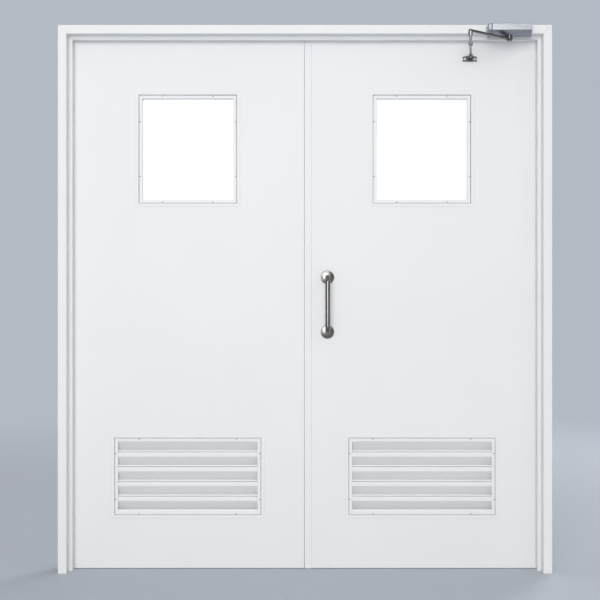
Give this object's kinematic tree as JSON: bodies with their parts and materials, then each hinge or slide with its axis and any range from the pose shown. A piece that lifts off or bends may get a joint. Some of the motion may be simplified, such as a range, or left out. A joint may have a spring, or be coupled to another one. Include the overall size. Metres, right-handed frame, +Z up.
{
  "type": "double door with vision panels",
  "caption": "White steel double door in a pressed-steel frame, with glazed vision panels, louvre grilles, a pull handle and an overhead door closer on one leaf",
  "frame": {"origin": "on the floor at mid width of the doorway, in the plane of the frame's front face", "axes": "+X to the right seen from the push side, +Y away from the viewer, the way the leaves swing, +Z up"},
  "size_m": [2, 0.391, 2.22],
  "materials": {
    "white_paint": "satin",
    "core": "matte",
    "glass": "satin",
    "satin_steel": "satin",
    "hinge_plating": "satin",
    "closer_case": "satin",
    "closer_grey": "satin",
    "closer_dark": "satin",
    "rubber": "matte"
  },
  "bodies": {
    "frame": {"closer_body": "closer_case", "closer_end_cap": "closer_grey", "frame_head": "white_paint", "frame_jamb_left": "white_paint", "frame_jamb_right": "white_paint", "hinge_left_1_frame_half": "hinge_plating", "hinge_left_2_frame_half": "hinge_plating", "hinge_left_3_frame_half": "hinge_plating", "hinge_right_1_frame_half": "hinge_plating", "hinge_right_2_frame_half": "hinge_plating", "hinge_right_3_frame_half": "hinge_plating", "stop_buffer_left": "rubber", "stop_buffer_right": "rubber"},
    "left_leaf": {"hinge_left_1_leaf_half": "hinge_plating", "hinge_left_2_leaf_half": "hinge_plating", "hinge_left_3_leaf_half": "hinge_plating", "left_leaf_core": "core", "left_leaf_front_pan": "white_paint", "left_leaf_rear_pan": "white_paint", "left_louvre_blade_1": "white_paint", "left_louvre_blade_2": "white_paint", "left_louvre_blade_3": "white_paint", "left_louvre_blade_4": "white_paint", "left_louvre_casing": "white_paint", "left_louvre_trim": "white_paint", "left_vision_bead": "white_paint", "left_vision_glass": "glass", "left_vision_rear_trim": "white_paint", "left_vision_trim": "white_paint"},
    "right_leaf": {"closer_shoe": "closer_dark", "handle_front_bar": "satin_steel", "handle_front_lower_rose": "satin_steel", "handle_front_upper_rose": "satin_steel", "handle_rear_bar": "satin_steel", "handle_rear_lower_rose": "satin_steel", "handle_rear_upper_rose": "satin_steel", "hinge_right_1_leaf_half": "hinge_plating", "hinge_right_2_leaf_half": "hinge_plating", "hinge_right_3_leaf_half": "hinge_plating", "meeting_astragal": "white_paint", "right_leaf_core": "core", "right_leaf_front_pan": "white_paint", "right_leaf_rear_pan": "white_paint", "right_louvre_blade_1": "white_paint", "right_louvre_blade_2": "white_paint", "right_louvre_blade_3": "white_paint", "right_louvre_blade_4": "white_paint", "right_louvre_casing": "white_paint", "right_louvre_trim": "white_paint", "right_vision_bead": "white_paint", "right_vision_glass": "glass", "right_vision_rear_trim": "white_paint", "right_vision_trim": "white_paint"},
    "closer_arm": {"closer_main_arm": "closer_dark", "closer_spindle": "closer_dark"},
    "closer_forearm": {"closer_forearm_rod": "closer_grey", "closer_forearm_sleeve": "closer_grey"}
  },
  "joints": [
    {"name": "left_leaf_swing", "type": "hinge", "parent": "frame", "child": "left_leaf", "pos_m": [-0.9635, 0.1415, 1], "axis": [0, 0, 1], "range_deg": [0, 110]},
    {"name": "right_leaf_swing", "type": "hinge", "parent": "frame", "child": "right_leaf", "pos_m": [0.9635, 0.1415, 1], "axis": [0, 0, -1], "range_deg": [0, 90]},
    {"name": "closer_arm_swing", "type": "hinge", "parent": "frame", "child": "closer_arm", "pos_m": [0.823, -0.022, 2.15], "axis": [0, 0, -1], "range_deg": [0, 120]},
    {"name": "closer_elbow", "type": "hinge", "parent": "closer_arm", "child": "closer_forearm", "pos_m": [0.644, -0.179, 2.14], "axis": [0, 0, 1], "range_deg": [0, 101]}
  ],
  "couplings": [
    {"joint": "closer_arm_swing", "follows": "right_leaf_swing", "ratio": 1.3224},
    {"joint": "closer_elbow", "follows": "right_leaf_swing", "ratio": 1.1155}
  ]
}
